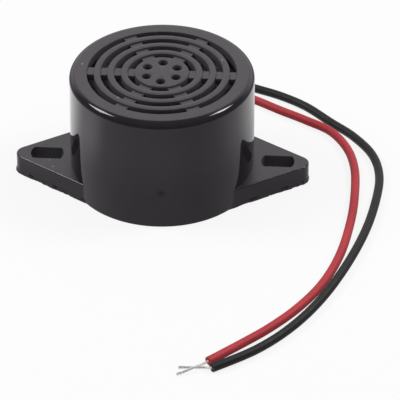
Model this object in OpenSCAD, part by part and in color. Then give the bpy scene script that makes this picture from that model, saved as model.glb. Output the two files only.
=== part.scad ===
// Piezo buzzer: a round moulded case with two fixing ears and a slotted grille face,
// a piezo element and its driver board inside, and two free leads with bare ends.
// Millimetres. Z is up, X runs along the ears, and the leads leave towards +Y.
// The origin is the middle of the underside.

/* [Case] */
// Outside diameter of the round case
body_d = 42; // [40:0.5:46]
// Height from the underside to the grille face
body_h = 28; // [26:0.5:34]
// Thickness of the round wall
wall_t = 2; // [1.4:0.1:2.4]
// Thickness of the grille face
top_t = 2; // [1.4:0.1:2.6]
// Radius of the rounded edge around the grille face
top_round = 1.6; // [0.4:0.1:1.8]

/* [Grille] */
// Diameter of the plain disc in the middle of the grille
hub_d = 12.3; // [11:0.1:13]
// Width of each slot
slot_w = 1.58; // [1:0.02:1.7]
// Width of the ring left between two slots
land_w = 1.49; // [1:0.01:1.6]
// Least width left between the outer slot and the chamber behind the grille
grille_edge = 0.5; // [0.3:0.05:1]
// Number of bars that cross the slots, evenly spaced and opposite in pairs
bar_count = 6; // [4:2:8]
// Width of each bar
bar_w = 3; // [2:0.1:3.4]
// Depth of the bars below the grille face
bar_drop = 0.35; // [0.1:0.05:0.8]
// Diameter of the round holes in the middle disc
hub_hole_d = 2.2; // [1.2:0.1:2.4]
// Diameter of the circle that the round holes stand on
hub_hole_ring_d = 7.7; // [7:0.1:8.4]

/* [Ears] */
// Thickness of the ears
ear_t = 4.7; // [3:0.1:6]
// Angle between an ear's edge and the X axis
ear_angle = 33.6; // [28:0.2:35]
// Radius of the ear's tip
ear_tip_r = 2.6; // [1.6:0.1:3]
// Material between the screw hole and the ear's tip
ear_end = 3.3; // [2.4:0.1:5]
// Bevel along the ear's upper edge
ear_bevel = 0.3; // [0.1:0.05:0.6]
// Diameter of the screw hole's round ends
screw_hole_d = 7.6; // [6:0.1:8]
// Distance between the screw hole's two flats
screw_hole_flats = 4.4; // [3.4:0.1:5]
// Material between the wall and the screw hole
screw_hole_gap = 1.7; // [1:0.1:4]

/* [Base cover] */
// Thickness of the base cover
cover_t = 1.6; // [1:0.1:2.4]
// Width of the step in the wall that the cover seats on
cover_step = 0.8; // [0.4:0.1:1]
// Diameter of the posts that hold the board
post_d = 3; // [2:0.1:4]
// Radius of the circle that the posts stand on
post_ring_r = 12; // [11:0.1:14]

/* [Piezo element] */
// Height of the space between the grille and the resonator
front_gap = 2; // [1:0.1:3]
// Width of the step in the wall that the resonator seats on
resonator_step = 1.5; // [0.8:0.1:1.8]
// Thickness of the resonator's plate
resonator_t = 1.2; // [0.8:0.1:2]
// Diameter of the resonator's sound hole
sound_hole_d = 6; // [3:0.5:10]
// Depth of the chamber between the resonator and the diaphragm
chamber_h = 3; // [1.5:0.1:4]
// Width of the seat left around the diaphragm
diaphragm_edge = 1.4; // [0.8:0.1:2.4]
// Thickness of the brass diaphragm
diaphragm_t = 0.3; // [0.2:0.05:0.5]
// Width of the diaphragm's rim that is held
diaphragm_rim = 1; // [0.6:0.1:1.5]
// Width of bare brass around the ceramic disc
ceramic_edge = 5; // [4:0.1:7]
// Thickness of the ceramic disc
ceramic_t = 0.25; // [0.2:0.05:0.5]

/* [Circuit board] */
// Gap between the tallest component and the ceramic disc
parts_gap = 0.6; // [0.5:0.1:2]
// Thickness of the board
board_t = 1.6; // [1:0.1:2]
// Diameter of the drilled holes
drill_d = 0.9; // [0.8:0.05:1]
// Diameter of the components' legs
leg_d = 0.6; // [0.4:0.05:0.7]
// Length of leg below the board
leg_tail = 1.3; // [1:0.1:1.6]
// Diameter of a solder joint where it meets its pad
solder_d = 1.3; // [1.1:0.1:1.4]
// Height of a solder joint
solder_h = 0.9; // [0.5:0.1:1]

/* [Components] */
// Diameter of the coil's flanges
coil_d = 10; // [8:0.1:11]
// Height of the coil
coil_h = 6; // [5:0.1:8]
// Thickness of the coil's flanges
coil_flange_t = 1.2; // [0.8:0.1:2]
// Diameter of the core that the winding sits on
coil_core_d = 4.5; // [3:0.1:6]
// Depth of the winding below the flange's edge
coil_inset = 0.5; // [0.2:0.1:1]
// Radius of the circle that the coil's pins stand on
coil_pin_r = 3.2; // [2.4:0.1:3.6]
// Diameter of the transistor's round side
transistor_d = 4.8; // [4.4:0.1:5.2]
// Distance from the transistor's middle to its flat
transistor_flat = 1.3; // [1:0.1:1.6]
// Height of the transistor's body
transistor_h = 4.6; // [4:0.1:5]
// Height of the transistor's body above the board
transistor_lift = 1.4; // [1:0.1:3]
// Distance between the transistor's legs
transistor_pitch = 1.5; // [1.4:0.05:1.7]
// Diameter of the resistors
resistor_d = 2.3; // [1.8:0.1:2.6]
// Length of the resistors
resistor_l = 6.2; // [5:0.1:6.6]
// Diameter of the diode
diode_d = 2.6; // [2:0.1:2.8]
// Length of the diode
diode_l = 5; // [4:0.1:6]
// Distance between the two legs of a resistor or diode
axial_pitch = 10; // [9.8:0.1:10.4]
// Diameter of the disc capacitor
capacitor_d = 5.5; // [5:0.1:6]
// Thickness of the disc capacitor
capacitor_t = 2.2; // [1.6:0.1:3]
// Distance between the capacitor's legs
capacitor_pitch = 5; // [4.6:0.1:5.2]
// Height of the lying or standing components above the board
component_lift = 0.4; // [0.2:0.1:1]

/* [Leads] */
// Outside diameter of the two supply leads
lead_d = 2; // [1.6:0.1:2.2]
// Distance between the leads where they leave the case
lead_pitch = 3.4; // [3.2:0.1:4]
// Height of the leads where they leave the case
lead_z = 4; // [3.8:0.1:4.4]
// Diameter of a bare end's bundle of strands
strand_bundle_d = 0.6; // [0.4:0.05:0.8]
// Diameter of the wires to the piezo element
piezo_wire_d = 0.8; // [0.6:0.1:1]
// Diameter of the solder dots on the piezo element
dot_d = 2; // [1.4:0.1:2.4]
// Height of the solder dots on the piezo element
dot_h = 0.4; // [0.2:0.1:0.6]
// Length of the glue bead along the leads
anchor_l = 4; // [2:0.5:5]
// Straight run of each lead past the glue bead, before it turns up to the board
lead_run = 5; // [2:0.5:6]
// Bend radius of each lead where it turns up to the board
lead_turn_r = 1.3; // [1:0.1:2]
// Glue around each lead
anchor_t = 1; // [0.6:0.1:1.2]

/* [Clearances] */
// Gap around a piece that slides into the case
fit_gap = 0.1; // [0.05:0.05:0.2]
// Gap around a lead in its hole
lead_gap = 0.2; // [0.1:0.05:0.3]

/* [Hidden] */
$fn = 96;

// How far a cutter runs past the face that it cuts
over = 0.5;
// Bend radius at the middle of a component's leg
leg_bend = 1;
// Solder left around the tip of a leg
solder_tip = 0.1;
// Where the cover's posts stand, clear of the solder and the leads
post_angles = [30, 150, 270];
// Corners around a lead's tube, and rings along each stretch between two route points
tube_sides = 8;
tube_steps = 2;
wire_steps = 3;
// Directions in which the leads leave the case and the wires leave the board
out = [0, 1, 0];
up = [0, 0, 1];

body_r = body_d/2;
cavity_r = body_r - wall_t;
chamber_r = cavity_r - resonator_step;
insert_r = cavity_r - fit_gap;
diaphragm_r = insert_r - diaphragm_edge;
held_r = diaphragm_r - diaphragm_rim;
ceramic_r = diaphragm_r - ceramic_edge;

// Heights of the stack, from the grille down
grille_z = body_h - top_t;
resonator_z = grille_z - front_gap;
rim_z = resonator_z - resonator_t - chamber_h;
diaphragm_z = rim_z - diaphragm_t;
ceramic_z = diaphragm_z - ceramic_t;
parts_h = max(coil_h, transistor_lift + transistor_h, component_lift + capacitor_d);
board_top = ceramic_z - parts_gap - parts_h;
board_z = board_top - board_t;

// Grille, with as many ring-shaped slots as its width takes
slot_pitch = slot_w + land_w;
slot_rings = floor((chamber_r - grille_edge - hub_d/2 + land_w)/slot_pitch);
bar_step = 360/bar_count;

// Ears
screw_hole_x = body_r + screw_hole_gap + screw_hole_d/2;
ear_tip_x = screw_hole_x + screw_hole_d/2 + ear_end - ear_tip_r;
ear_edge_gap = ear_tip_x*sin(ear_angle) + ear_tip_r;
ear_edge_foot = ear_tip_x*cos(ear_angle);

// Where each component stands on the board
coil_at = [-6, 2];
transistor_at = [6, 8];
resistors_at = [[6.2, -1], [6.2, -4.2]];
diode_at = [-4, -7.5];
capacitor_at = [7, 2.2];

// Each lead runs in from the wall, then turns up to its pad under the board
lead_pad_z = board_z - solder_h;
lead_pad_y = cavity_r - anchor_l - lead_run - lead_turn_r;

coil_pin_points = [for (a = [90, 210, 330]) coil_at + coil_pin_r*[cos(a), sin(a)]];
transistor_leg_points = [for (i = [-1:1]) transistor_at + [i*transistor_pitch, 0]];
resistor_leg_points = [for (p = resistors_at, s = [-1, 1]) p + [s*axial_pitch/2, 0]];
diode_leg_points = [for (s = [-1, 1]) diode_at + [s*axial_pitch/2, 0]];
capacitor_leg_points = [for (s = [-1, 1]) capacitor_at + [s*capacitor_pitch/2, 0]];
leg_points = concat(coil_pin_points, transistor_leg_points, resistor_leg_points, diode_leg_points,
    capacitor_leg_points);

// Wires between the board and the piezo element: foot on the board, end on the element
diaphragm_dot_r = (ceramic_r + held_r)/2;
diaphragm_dot_angle = -37;
diaphragm_wire = [[8.9, -7], diaphragm_dot_r*[cos(diaphragm_dot_angle), sin(diaphragm_dot_angle)]];
drive_wire = [[6, -7.5], [4.6, -6.2]];
feedback_wire = [[3, -9.8], [1.4, -7.5]];

// Routes of the free leads, from the wall down to the table and along it to the end of the insulation
red_route = [
    [lead_pitch/2, body_r, lead_z], [1.7, 24.4, 4], [2.4, 27.7, 3.75], [4.3, 30.7, 3], [7.2, 32.8, 2.05],
    [10.9, 33.6, 1.35], [15, 32.9, 1.05], [20, 30.2, 1.05], [26, 26.3, 1.05], [32, 22.6, 1.05],
    [38, 18.3, 1.05], [42, 11.7, 1.05], [44, 3.8, 1.05], [44.4, -6.2, 1.05], [43.8, -17.2, 1.05],
    [41.8, -30.2, 1.05], [38.3, -41.2, 1.05], [33.4, -50.2, 1.05], [27.5, -57.9, 1.05], [21, -64.6, 1.05],
    [15, -70.6, 1.2]
];
black_route = [
    [-lead_pitch/2, body_r, lead_z], [-1.7, 25.5, 4], [-0.9, 30, 3.7], [1.5, 33.9, 2.9], [5.3, 36.8, 1.95],
    [10.2, 37.9, 1.3], [15.2, 37.1, 1.05], [20, 35.1, 1.05], [26, 32.3, 1.05], [32, 28.2, 1.05],
    [38, 22, 1.05], [43.5, 16.4, 1.05], [48, 9.2, 1.05], [49.8, 0.8, 1.05], [49.2, -9.3, 1.05],
    [47.1, -21.2, 1.05], [43.3, -34.2, 1.05], [38.2, -46.9, 1.05], [32.2, -57.3, 1.05], [25, -65.7, 1.05],
    [15.9, -72.7, 1.05]
];
// Bare ends, from the end of the insulation
red_end_route = [
    [15, -70.6, 1.2], [13.7, -71.7, 1.15], [12.2, -72.7, 1.1], [10.1, -73.7, 0.6], [8.5, -74.5, 0.4]
];
black_end_route = [
    [15.9, -72.7, 1.05], [14.4, -71.9, 0.5], [12.1, -71.85, 0.35], [10.2, -71.9, 0.35], [8.7, -72, 0.35]
];

// A smooth curve through the points p, cut into steps between each two of them
function bend_at(p, i) = p[max(0, min(len(p) - 1, i))];
function on_curve(a, b, c, d, t) =
    0.5*(2*b + (c - a)*t + (2*a - 5*b + 4*c - d)*t*t + (3*b - a - 3*c + d)*t*t*t);
function curve(p, steps) = concat(
    [for (i = [0:len(p) - 2], k = [0:steps - 1])
        on_curve(bend_at(p, i - 1), p[i], p[i + 1], bend_at(p, i + 2), k/steps)],
    [p[len(p) - 1]]
);
function unit(v) = v/norm(v);
red_path = curve(red_route, tube_steps);
black_path = curve(black_route, tube_steps);
// Direction of a path at each of its points, with the two end directions given or else read from the path
function heading(p, i) = unit(bend_at(p, i + 1) - bend_at(p, i - 1));
function headings(p, first, last) =
    [for (i = [0:len(p) - 1])
        i == 0 && !is_undef(first) ? first : i == len(p) - 1 && !is_undef(last) ? last : heading(p, i)];
// A direction across each heading, carried along the path so that the tube doesn't twist
function across(h, i, side) =
    let (flat = unit(side - (side*h[i])*h[i]))
    i == len(h) - 1 ? [flat] : concat([flat], across(h, i + 1, flat));
function ring_points(centre, h, side, r) =
    [for (k = [0:tube_sides - 1])
        let (a = 360*(k + 0.5)/tube_sides) centre + r*(cos(a)*side + sin(a)*cross(h, side))];

// A tube of diameter d along the path p, with its end faces square to the directions first and last
module tube(p, d, first, last) {
    h = headings(p, first, last);
    side = across(h, 0, [1, 0, 0.01]);
    n = tube_sides;
    end = len(p) - 1;
    points = [for (i = [0:end]) each ring_points(p[i], h[i], side[i], d/2)];
    walls = [for (i = [0:end - 1], k = [0:n - 1])
        let (a = i*n + k, b = i*n + (k + 1) % n) each [[a, a + n, b], [b, a + n, b + n]]];
    start_face = [for (k = [0:n - 1]) k];
    end_face = [for (k = [n - 1:-1:0]) end*n + k];
    polyhedron(points, concat(walls, [start_face, end_face]));
}

// One ring-shaped slot, and the bars left across all of them
module slot_ring(i, depth) {
    inner_r = hub_d/2 + i*slot_pitch;
    translate([0, 0, body_h - depth])
        difference() {
            cylinder(r = inner_r + slot_w, h = depth + over);
            translate([0, 0, -over])
                cylinder(r = inner_r, h = depth + 3*over);
        }
}

module bars() {
    for (k = [0:bar_count/2 - 1])
        rotate(k*bar_step)
            translate([-body_r, -bar_w/2, grille_z - 2*over])
                cube([body_d, bar_w, top_t + 4*over]);
}

module grille_cuts() {
    for (i = [0:slot_rings - 1]) {
        slot_ring(i, bar_drop);
        difference() {
            slot_ring(i, top_t + over);
            bars();
        }
    }
    for (k = [0:bar_count - 1])
        rotate((k + 0.5)*bar_step)
            translate([hub_hole_ring_d/2, 0, grille_z - over])
                cylinder(d = hub_hole_d, h = top_t + 2*over);
}

// The round body without its hollow, with the rounded upper edge
module round_body() {
    rotate_extrude()
        union() {
            square([body_r, body_h - top_round]);
            square([body_r - top_round, body_h]);
            intersection() {
                translate([body_r - top_round, body_h - top_round])
                    circle(top_round);
                square([body_r, body_h]);
            }
        }
}

module hollow() {
    step_r = cavity_r + cover_step;
    translate([0, 0, -over])
        cylinder(r = step_r, h = cover_t + over);
    cylinder(r = cavity_r, h = resonator_z);
    cylinder(r = chamber_r, h = grille_z);
}

module ear_outline() {
    tangent = [ear_tip_x + ear_tip_r*sin(ear_angle), ear_tip_r*cos(ear_angle)];
    foot = ear_edge_gap*[sin(ear_angle), cos(ear_angle)];
    polygon([tangent, foot, [foot.x, -foot.y], [tangent.x, -tangent.y]]);
    translate([ear_tip_x, 0])
        circle(ear_tip_r);
}

// Section of the cut that bevels an upper edge, with the edge at its origin
module bevel_section() {
    polygon([[-ear_bevel, over], [over, over], [over, -ear_bevel - over], [0, -ear_bevel], [-ear_bevel, 0]]);
}

module ear_bevels() {
    for (side = [0, 1])
        mirror([0, side, 0])
            rotate(90 - ear_angle)
                translate([ear_edge_gap, -ear_edge_foot, ear_t])
                    rotate([90, 0, 180])
                        linear_extrude(ear_edge_foot)
                            mirror([1, 0])
                                bevel_section();
    translate([ear_tip_x, 0, ear_t])
        rotate(ear_angle - 90)
            rotate_extrude(angle = 180 - 2*ear_angle)
                translate([ear_tip_r, 0])
                    bevel_section();
}

module screw_hole() {
    translate([screw_hole_x, 0, -over])
        linear_extrude(ear_t + 2*over)
            intersection() {
                circle(d = screw_hole_d);
                square([screw_hole_d, screw_hole_flats], center = true);
            }
}

module ear() {
    difference() {
        linear_extrude(ear_t)
            ear_outline();
        ear_bevels();
        screw_hole();
    }
}

// Bores along Y for the two leads, from the board's side out through the wall
module lead_bores(d) {
    for (side = [-1, 1])
        translate([side*lead_pitch/2, cavity_r - anchor_l - over, lead_z])
            rotate([-90, 0, 0])
                cylinder(d = d, h = wall_t + anchor_l + 2*over);
}

module case() {
    color("#1c1b1d")
        difference() {
            union() {
                round_body();
                ear();
                mirror([1, 0, 0])
                    ear();
            }
            hollow();
            grille_cuts();
            lead_bores(lead_d + 2*lead_gap);
        }
}

module base_cover() {
    color("#232225") {
        cylinder(r = cavity_r + cover_step - fit_gap, h = cover_t);
        for (a = post_angles)
            rotate(a)
                translate([post_ring_r, 0, cover_t])
                    cylinder(d = post_d, h = board_z - cover_t);
    }
}

module resonator_cup() {
    color("#262528")
        difference() {
            translate([0, 0, rim_z])
                cylinder(r = insert_r, h = resonator_z - rim_z);
            translate([0, 0, rim_z - over])
                cylinder(r = held_r, h = chamber_h + over);
            translate([0, 0, rim_z])
                cylinder(d = sound_hole_d, h = resonator_z - rim_z + over);
        }
}

module diaphragm() {
    color("#c9a550")
        translate([0, 0, diaphragm_z])
            cylinder(r = diaphragm_r, h = diaphragm_t);
}

module piezo_ceramic() {
    color("#d6d3c8")
        translate([0, 0, ceramic_z])
            cylinder(r = ceramic_r, h = ceramic_t);
}

module spacer_ring() {
    color("#d9d6cd")
        difference() {
            translate([0, 0, board_top])
                cylinder(r = insert_r, h = diaphragm_z - board_top);
            translate([0, 0, board_top - over])
                cylinder(r = held_r, h = diaphragm_z - board_top + 2*over);
        }
}

module circuit_board() {
    color("#b98a4a")
        difference() {
            translate([0, 0, board_z])
                cylinder(r = insert_r, h = board_t);
            for (p = leg_points)
                translate([p.x, p.y, board_z - over])
                    cylinder(d = drill_d, h = board_t + 2*over);
        }
}

module coil_core() {
    color("#3a3a3d")
        translate([coil_at.x, coil_at.y, board_top]) {
            cylinder(d = coil_d, h = coil_flange_t);
            cylinder(d = coil_core_d, h = coil_h);
            translate([0, 0, coil_h - coil_flange_t])
                cylinder(d = coil_d, h = coil_flange_t);
        }
}

module coil_winding() {
    winding_h = coil_h - 2*coil_flange_t;
    color("#b06a33")
        translate([coil_at.x, coil_at.y, board_top + coil_flange_t])
            difference() {
                cylinder(d = coil_d - 2*coil_inset, h = winding_h);
                translate([0, 0, -over])
                    cylinder(d = coil_core_d, h = winding_h + 2*over);
            }
}

// Straight legs from below the board up to height z
module straight_legs(points, z) {
    for (p = points)
        translate([p.x, p.y, board_z - leg_tail])
            cylinder(d = leg_d, h = z - board_z + leg_tail);
}

module coil_pins() {
    color("#c8c8c4")
        straight_legs(coil_pin_points, board_top);
}

module transistor_body() {
    color("#202022")
        translate([transistor_at.x, transistor_at.y, board_top + transistor_lift])
            linear_extrude(transistor_h)
                difference() {
                    circle(d = transistor_d);
                    translate([-transistor_d, transistor_flat])
                        square([2*transistor_d, transistor_d]);
                }
}

module transistor_legs() {
    color("#c8c8c4")
        straight_legs(transistor_leg_points, board_top + transistor_lift);
}

// A round body lying along X above the board, and the pair of bent legs at its ends
module lying_body(at, d, l) {
    translate([at.x - l/2, at.y, board_top + component_lift + d/2])
        rotate([0, 90, 0])
            cylinder(d = d, h = l);
}

module lying_legs(at, d, l) {
    axis_z = board_top + component_lift + d/2;
    run = (axial_pitch - l)/2 - leg_bend;
    drop = axis_z - leg_bend - board_z + leg_tail;
    for (side = [0, 1])
        translate([at.x, at.y, axis_z])
            mirror([side, 0, 0]) {
                translate([l/2, 0, 0])
                    rotate([0, 90, 0])
                        cylinder(d = leg_d, h = run);
                translate([l/2 + run, 0, -leg_bend])
                    rotate([90, 0, 0])
                        rotate_extrude(angle = 90)
                            translate([leg_bend, 0])
                                circle(d = leg_d);
                translate([axial_pitch/2, 0, -leg_bend - drop])
                    cylinder(d = leg_d, h = drop);
            }
}

module resistor_bodies() {
    color("#c9a982")
        for (at = resistors_at)
            lying_body(at, resistor_d, resistor_l);
}

module resistor_legs() {
    color("#c8c8c4")
        for (at = resistors_at)
            lying_legs(at, resistor_d, resistor_l);
}

module diode_body() {
    color("#222224")
        lying_body(diode_at, diode_d, diode_l);
}

module diode_legs() {
    color("#c8c8c4")
        lying_legs(diode_at, diode_d, diode_l);
}

module capacitor_body() {
    axis_z = board_top + component_lift + capacitor_d/2;
    color("#c07a35")
        translate([capacitor_at.x, capacitor_at.y + capacitor_t/2, axis_z])
            rotate([90, 0, 0])
                cylinder(d = capacitor_d, h = capacitor_t);
}

// The disc's legs end on its rim, so each is cut off by the disc's own shape
module capacitor_legs() {
    axis_z = board_top + component_lift + capacitor_d/2;
    color("#c8c8c4")
        difference() {
            straight_legs(capacitor_leg_points, axis_z);
            translate([capacitor_at.x, capacitor_at.y + capacitor_t, axis_z])
                rotate([90, 0, 0])
                    cylinder(d = capacitor_d, h = 2*capacitor_t);
        }
}

// Solder on the legs below the board, under the leads, and on the piezo element and its pads
module solder_joints() {
    color("#b9bcbe") {
        for (p = leg_points)
            translate([p.x, p.y, board_z - solder_h])
                difference() {
                    cylinder(d1 = leg_d + 2*solder_tip, d2 = solder_d, h = solder_h);
                    translate([0, 0, -over])
                        cylinder(d = leg_d, h = solder_h + 2*over);
                }
        for (side = [-1, 1])
            translate([side*lead_pitch/2, lead_pad_y, lead_pad_z])
                cylinder(d1 = lead_d, d2 = dot_d, h = solder_h);
        for (wire = [diaphragm_wire, drive_wire, feedback_wire])
            translate([wire[0].x, wire[0].y, board_top])
                cylinder(d1 = dot_d, d2 = piezo_wire_d, h = dot_h);
        for (wire = [drive_wire, feedback_wire])
            translate([wire[1].x, wire[1].y, ceramic_z - dot_h])
                cylinder(d1 = piezo_wire_d, d2 = dot_d, h = dot_h);
        translate([diaphragm_wire[1].x, diaphragm_wire[1].y, diaphragm_z - dot_h])
            cylinder(d1 = piezo_wire_d, d2 = dot_d, h = dot_h);
    }
}

// A thin wire from its pad on the board up to height z on the piezo element, bowed on the way
module piezo_wire(ends, z) {
    low = board_top + dot_h;
    high = z - dot_h;
    foot = [ends[0].x, ends[0].y];
    tip = [ends[1].x, ends[1].y];
    rise = high - low;
    p = [
        [foot.x, foot.y, low],
        [foot.x, foot.y, low + rise/4],
        [(foot.x + tip.x)/2, (foot.y + tip.y)/2, low + rise/2],
        [tip.x, tip.y, high - rise/4],
        [tip.x, tip.y, high]
    ];
    tube(curve(p, wire_steps), piezo_wire_d, up, up);
}

module diaphragm_lead() {
    color("#2a2a2c")
        piezo_wire(diaphragm_wire, diaphragm_z);
}

module drive_lead() {
    color("#b02a2e")
        piezo_wire(drive_wire, ceramic_z);
}

module feedback_lead() {
    color("#2d4f9a")
        piezo_wire(feedback_wire, ceramic_z);
}

// A lead inside the case: in through the wall, then round a bend and up to its pad on the board
module lead_inner(side) {
    x = side*lead_pitch/2;
    turn = [for (a = [0:15:90])
        [x, lead_pad_y + lead_turn_r*(1 - sin(a)), lead_z + lead_turn_r*(1 - cos(a))]];
    inward = [[x, body_r, lead_z], [x, cavity_r, lead_z]];
    tube(concat(inward, turn, [[x, lead_pad_y, lead_pad_z]]), lead_d, -out, up);
}

module red_lead_inner() {
    color("#b5262c")
        lead_inner(1);
}

module black_lead_inner() {
    color("#1b1b1d")
        lead_inner(-1);
}

module lead_anchor() {
    anchor_w = lead_pitch + lead_d + 2*anchor_t;
    anchor_h = lead_d + 2*anchor_t;
    color("#cfc9b4")
        difference() {
            intersection() {
                translate([0, 0, lead_z - anchor_h/2])
                    cylinder(r = cavity_r, h = anchor_h);
                translate([-anchor_w/2, cavity_r - anchor_l, lead_z - anchor_h/2])
                    cube([anchor_w, anchor_l + over, anchor_h]);
            }
            lead_bores(lead_d);
        }
}

module red_lead() {
    color("#b5262c")
        tube(red_path, lead_d, out);
}

module black_lead() {
    color("#1b1b1d")
        tube(black_path, lead_d, out);
}

module red_strands() {
    color("#c9c6be")
        tube(curve(red_end_route, tube_steps), strand_bundle_d, heading(red_path, len(red_path) - 1));
}

module black_strands() {
    color("#c9c6be")
        tube(curve(black_end_route, tube_steps), strand_bundle_d, heading(black_path, len(black_path) - 1));
}

case();
base_cover();
resonator_cup();
diaphragm();
piezo_ceramic();
spacer_ring();
circuit_board();
coil_core();
coil_winding();
coil_pins();
transistor_body();
transistor_legs();
resistor_bodies();
resistor_legs();
diode_body();
diode_legs();
capacitor_body();
capacitor_legs();
solder_joints();
diaphragm_lead();
drive_lead();
feedback_lead();
red_lead_inner();
black_lead_inner();
lead_anchor();
red_lead();
black_lead();
red_strands();
black_strands();
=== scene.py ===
import math

import bmesh
import bpy
from mathutils import Matrix, Vector


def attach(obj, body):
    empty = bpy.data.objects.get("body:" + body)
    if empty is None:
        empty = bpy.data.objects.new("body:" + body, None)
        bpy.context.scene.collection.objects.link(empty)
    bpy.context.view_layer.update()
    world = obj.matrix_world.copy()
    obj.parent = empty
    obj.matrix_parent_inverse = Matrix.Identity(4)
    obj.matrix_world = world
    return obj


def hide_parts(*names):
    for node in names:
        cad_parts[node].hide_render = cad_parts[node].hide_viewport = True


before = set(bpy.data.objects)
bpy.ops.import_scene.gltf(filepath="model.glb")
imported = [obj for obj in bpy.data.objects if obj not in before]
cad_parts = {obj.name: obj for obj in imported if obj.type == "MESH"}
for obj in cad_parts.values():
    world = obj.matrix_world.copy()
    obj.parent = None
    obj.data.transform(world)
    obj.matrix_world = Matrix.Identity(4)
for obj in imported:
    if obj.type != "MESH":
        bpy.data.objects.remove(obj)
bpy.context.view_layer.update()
scene = bpy.context.scene
scene.view_settings.view_transform = "Standard"
mm = 0.001  # every size below is in millimetres
print("frame loaded:", len(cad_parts), "nodes")


def linear(hexCode):
    channels = [int(hexCode[i:i + 2], 16) / 255 for i in (1, 3, 5)]
    return [c / 12.92 if c <= 0.04045 else ((c + 0.055) / 1.055) ** 2.4 for c in channels] + [1.0]


# adds one node, with its settings, and with a value or a link for each socket that is named or numbered
def addNode(tree, kind, sockets=None, **settings):
    node = tree.nodes.new(kind)
    for name, value in settings.items():
        setattr(node, name, value)
    for key, value in (sockets or {}).items():
        socket = node.inputs[key]
        for item in value if isinstance(value, list) and socket.is_multi_input else [value]:
            if isinstance(item, bpy.types.NodeSocket):
                tree.links.new(item, socket)
            else:
                socket.default_value = item
    return node


def placeObject(name, data):
    piece = bpy.data.objects.new(name, data)
    scene.collection.objects.link(piece)
    return piece


# makes a bmesh an object and frees it
def placeBuild(name, build):
    mesh = bpy.data.meshes.new(name)
    build.to_mesh(mesh)
    build.free()
    return placeObject(name, mesh)


# a new tree with its named inputs; returns the tree, its input node and each input's identifier
def startTree(name, sizes):
    tree = bpy.data.node_groups.new(name, "GeometryNodeTree")
    tree.interface.new_socket("Geometry", in_out="INPUT", socket_type="NodeSocketGeometry")
    tree.interface.new_socket("Geometry", in_out="OUTPUT", socket_type="NodeSocketGeometry")
    kinds = {int: "NodeSocketInt", float: "NodeSocketFloat", bpy.types.Material: "NodeSocketMaterial"}
    identifiers = {}
    for label, value in sizes.items():
        socket = tree.interface.new_socket(label, in_out="INPUT", socket_type=kinds[type(value)])
        identifiers[label] = socket.identifier
    return tree, tree.nodes.new("NodeGroupInput"), identifiers


# evaluates a tree or modifiers on a host and returns the result as a plain mesh object
def bakePiece(name, host, tree=None, sizes=None, identifiers=None):
    if tree:
        modifier = host.modifiers.new(tree.name, "NODES")
        modifier.node_group = tree
        for label, value in sizes.items():
            modifier[identifiers[label]] = value
    bpy.context.view_layer.update()
    depsgraph = bpy.context.evaluated_depsgraph_get()
    mesh = bpy.data.meshes.new_from_object(host.evaluated_get(depsgraph))
    mesh.name = name
    bpy.data.objects.remove(host)
    return placeObject(name, mesh)


# camera, fitted to the case's edges, slots and ears in the photo
cameraFit = {
    "elevation": 35.37909, "turn": 3.71677,  # degrees
    "distance": 792.9645, "aside": 8.617, "up": -6.038,
    "pixelsPerMm": 4.34435, "imageWidth": 400, "sensor": 36.0,
    "clip": (0.01, 20.0),  # metres
}


def makeCamera(fit):
    e, a = math.radians(fit["elevation"]), math.radians(fit["turn"])
    right = Vector((math.cos(a), math.sin(a), 0))
    ahead = Vector((-math.sin(a) * math.cos(e), math.cos(a) * math.cos(e), -math.sin(e)))
    upward = right.cross(ahead)
    data = bpy.data.cameras.new("photoCamera")
    data.sensor_width = fit["sensor"]
    data.lens = fit["pixelsPerMm"] * fit["distance"] * fit["sensor"] / fit["imageWidth"]
    data.clip_start, data.clip_end = fit["clip"]
    camera = placeObject("photoCamera", data)
    place = (right * fit["aside"] + upward * fit["up"] - ahead * fit["distance"]) * mm
    turn = Matrix((right, upward, -ahead)).transposed().to_4x4()
    camera.matrix_world = Matrix.Translation(place) @ turn
    scene.camera = camera


makeCamera(cameraFit)
print("camera placed")

# the two leads: the route points are those of the part's source
leadSizes = {
    "diameter": 2.0, "pitch": 3.4, "exitHeight": 4.0, "exitDepth": 21.0,
    "roundness": 8, "stepsPerPoint": 10,
    "holeGap": 0.2, "holeSides": 40, "holeReach": (-3, 1),  # the cutter's ends, from the wall's outside
}
redRoute = [
    (1.7, 21, 4), (1.7, 24.4, 4), (2.4, 27.7, 3.75), (4.3, 30.7, 3), (7.2, 32.8, 2.05),
    (10.9, 33.6, 1.35), (15, 32.9, 1.05), (20, 30.2, 1.05), (26, 26.3, 1.05), (32, 22.6, 1.05),
    (38, 18.3, 1.05), (42, 11.7, 1.05), (44, 3.8, 1.05), (44.4, -6.2, 1.05), (43.8, -17.2, 1.05),
    (41.8, -30.2, 1.05), (38.3, -41.2, 1.05), (33.4, -50.2, 1.05), (27.5, -57.9, 1.05), (21, -64.6, 1.05),
    (15, -70.6, 1.2),
]
blackRoute = [
    (-1.7, 21, 4), (-1.7, 25.5, 4), (-0.9, 30, 3.7), (1.5, 33.9, 2.9), (5.3, 36.8, 1.95),
    (10.2, 37.9, 1.3), (15.2, 37.1, 1.05), (20, 35.1, 1.05), (26, 32.3, 1.05), (32, 28.2, 1.05),
    (38, 22, 1.05), (43.5, 16.4, 1.05), (48, 9.2, 1.05), (49.8, 0.8, 1.05), (49.2, -9.3, 1.05),
    (47.1, -21.2, 1.05), (43.3, -34.2, 1.05), (38.2, -46.9, 1.05), (32.2, -57.3, 1.05), (25, -65.7, 1.05),
    (15.9, -72.7, 1.05),
]
redEndRoute = [
    (15, -70.6, 1.2), (13.7, -71.7, 1.15), (12.2, -72.7, 1.1), (10.1, -73.7, 0.6), (8.5, -74.5, 0.4),
]
blackEndRoute = [
    (15.9, -72.7, 1.05), (14.4, -71.9, 0.5), (12.1, -71.85, 0.35), (10.2, -71.9, 0.35), (8.7, -72, 0.35),
]


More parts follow.
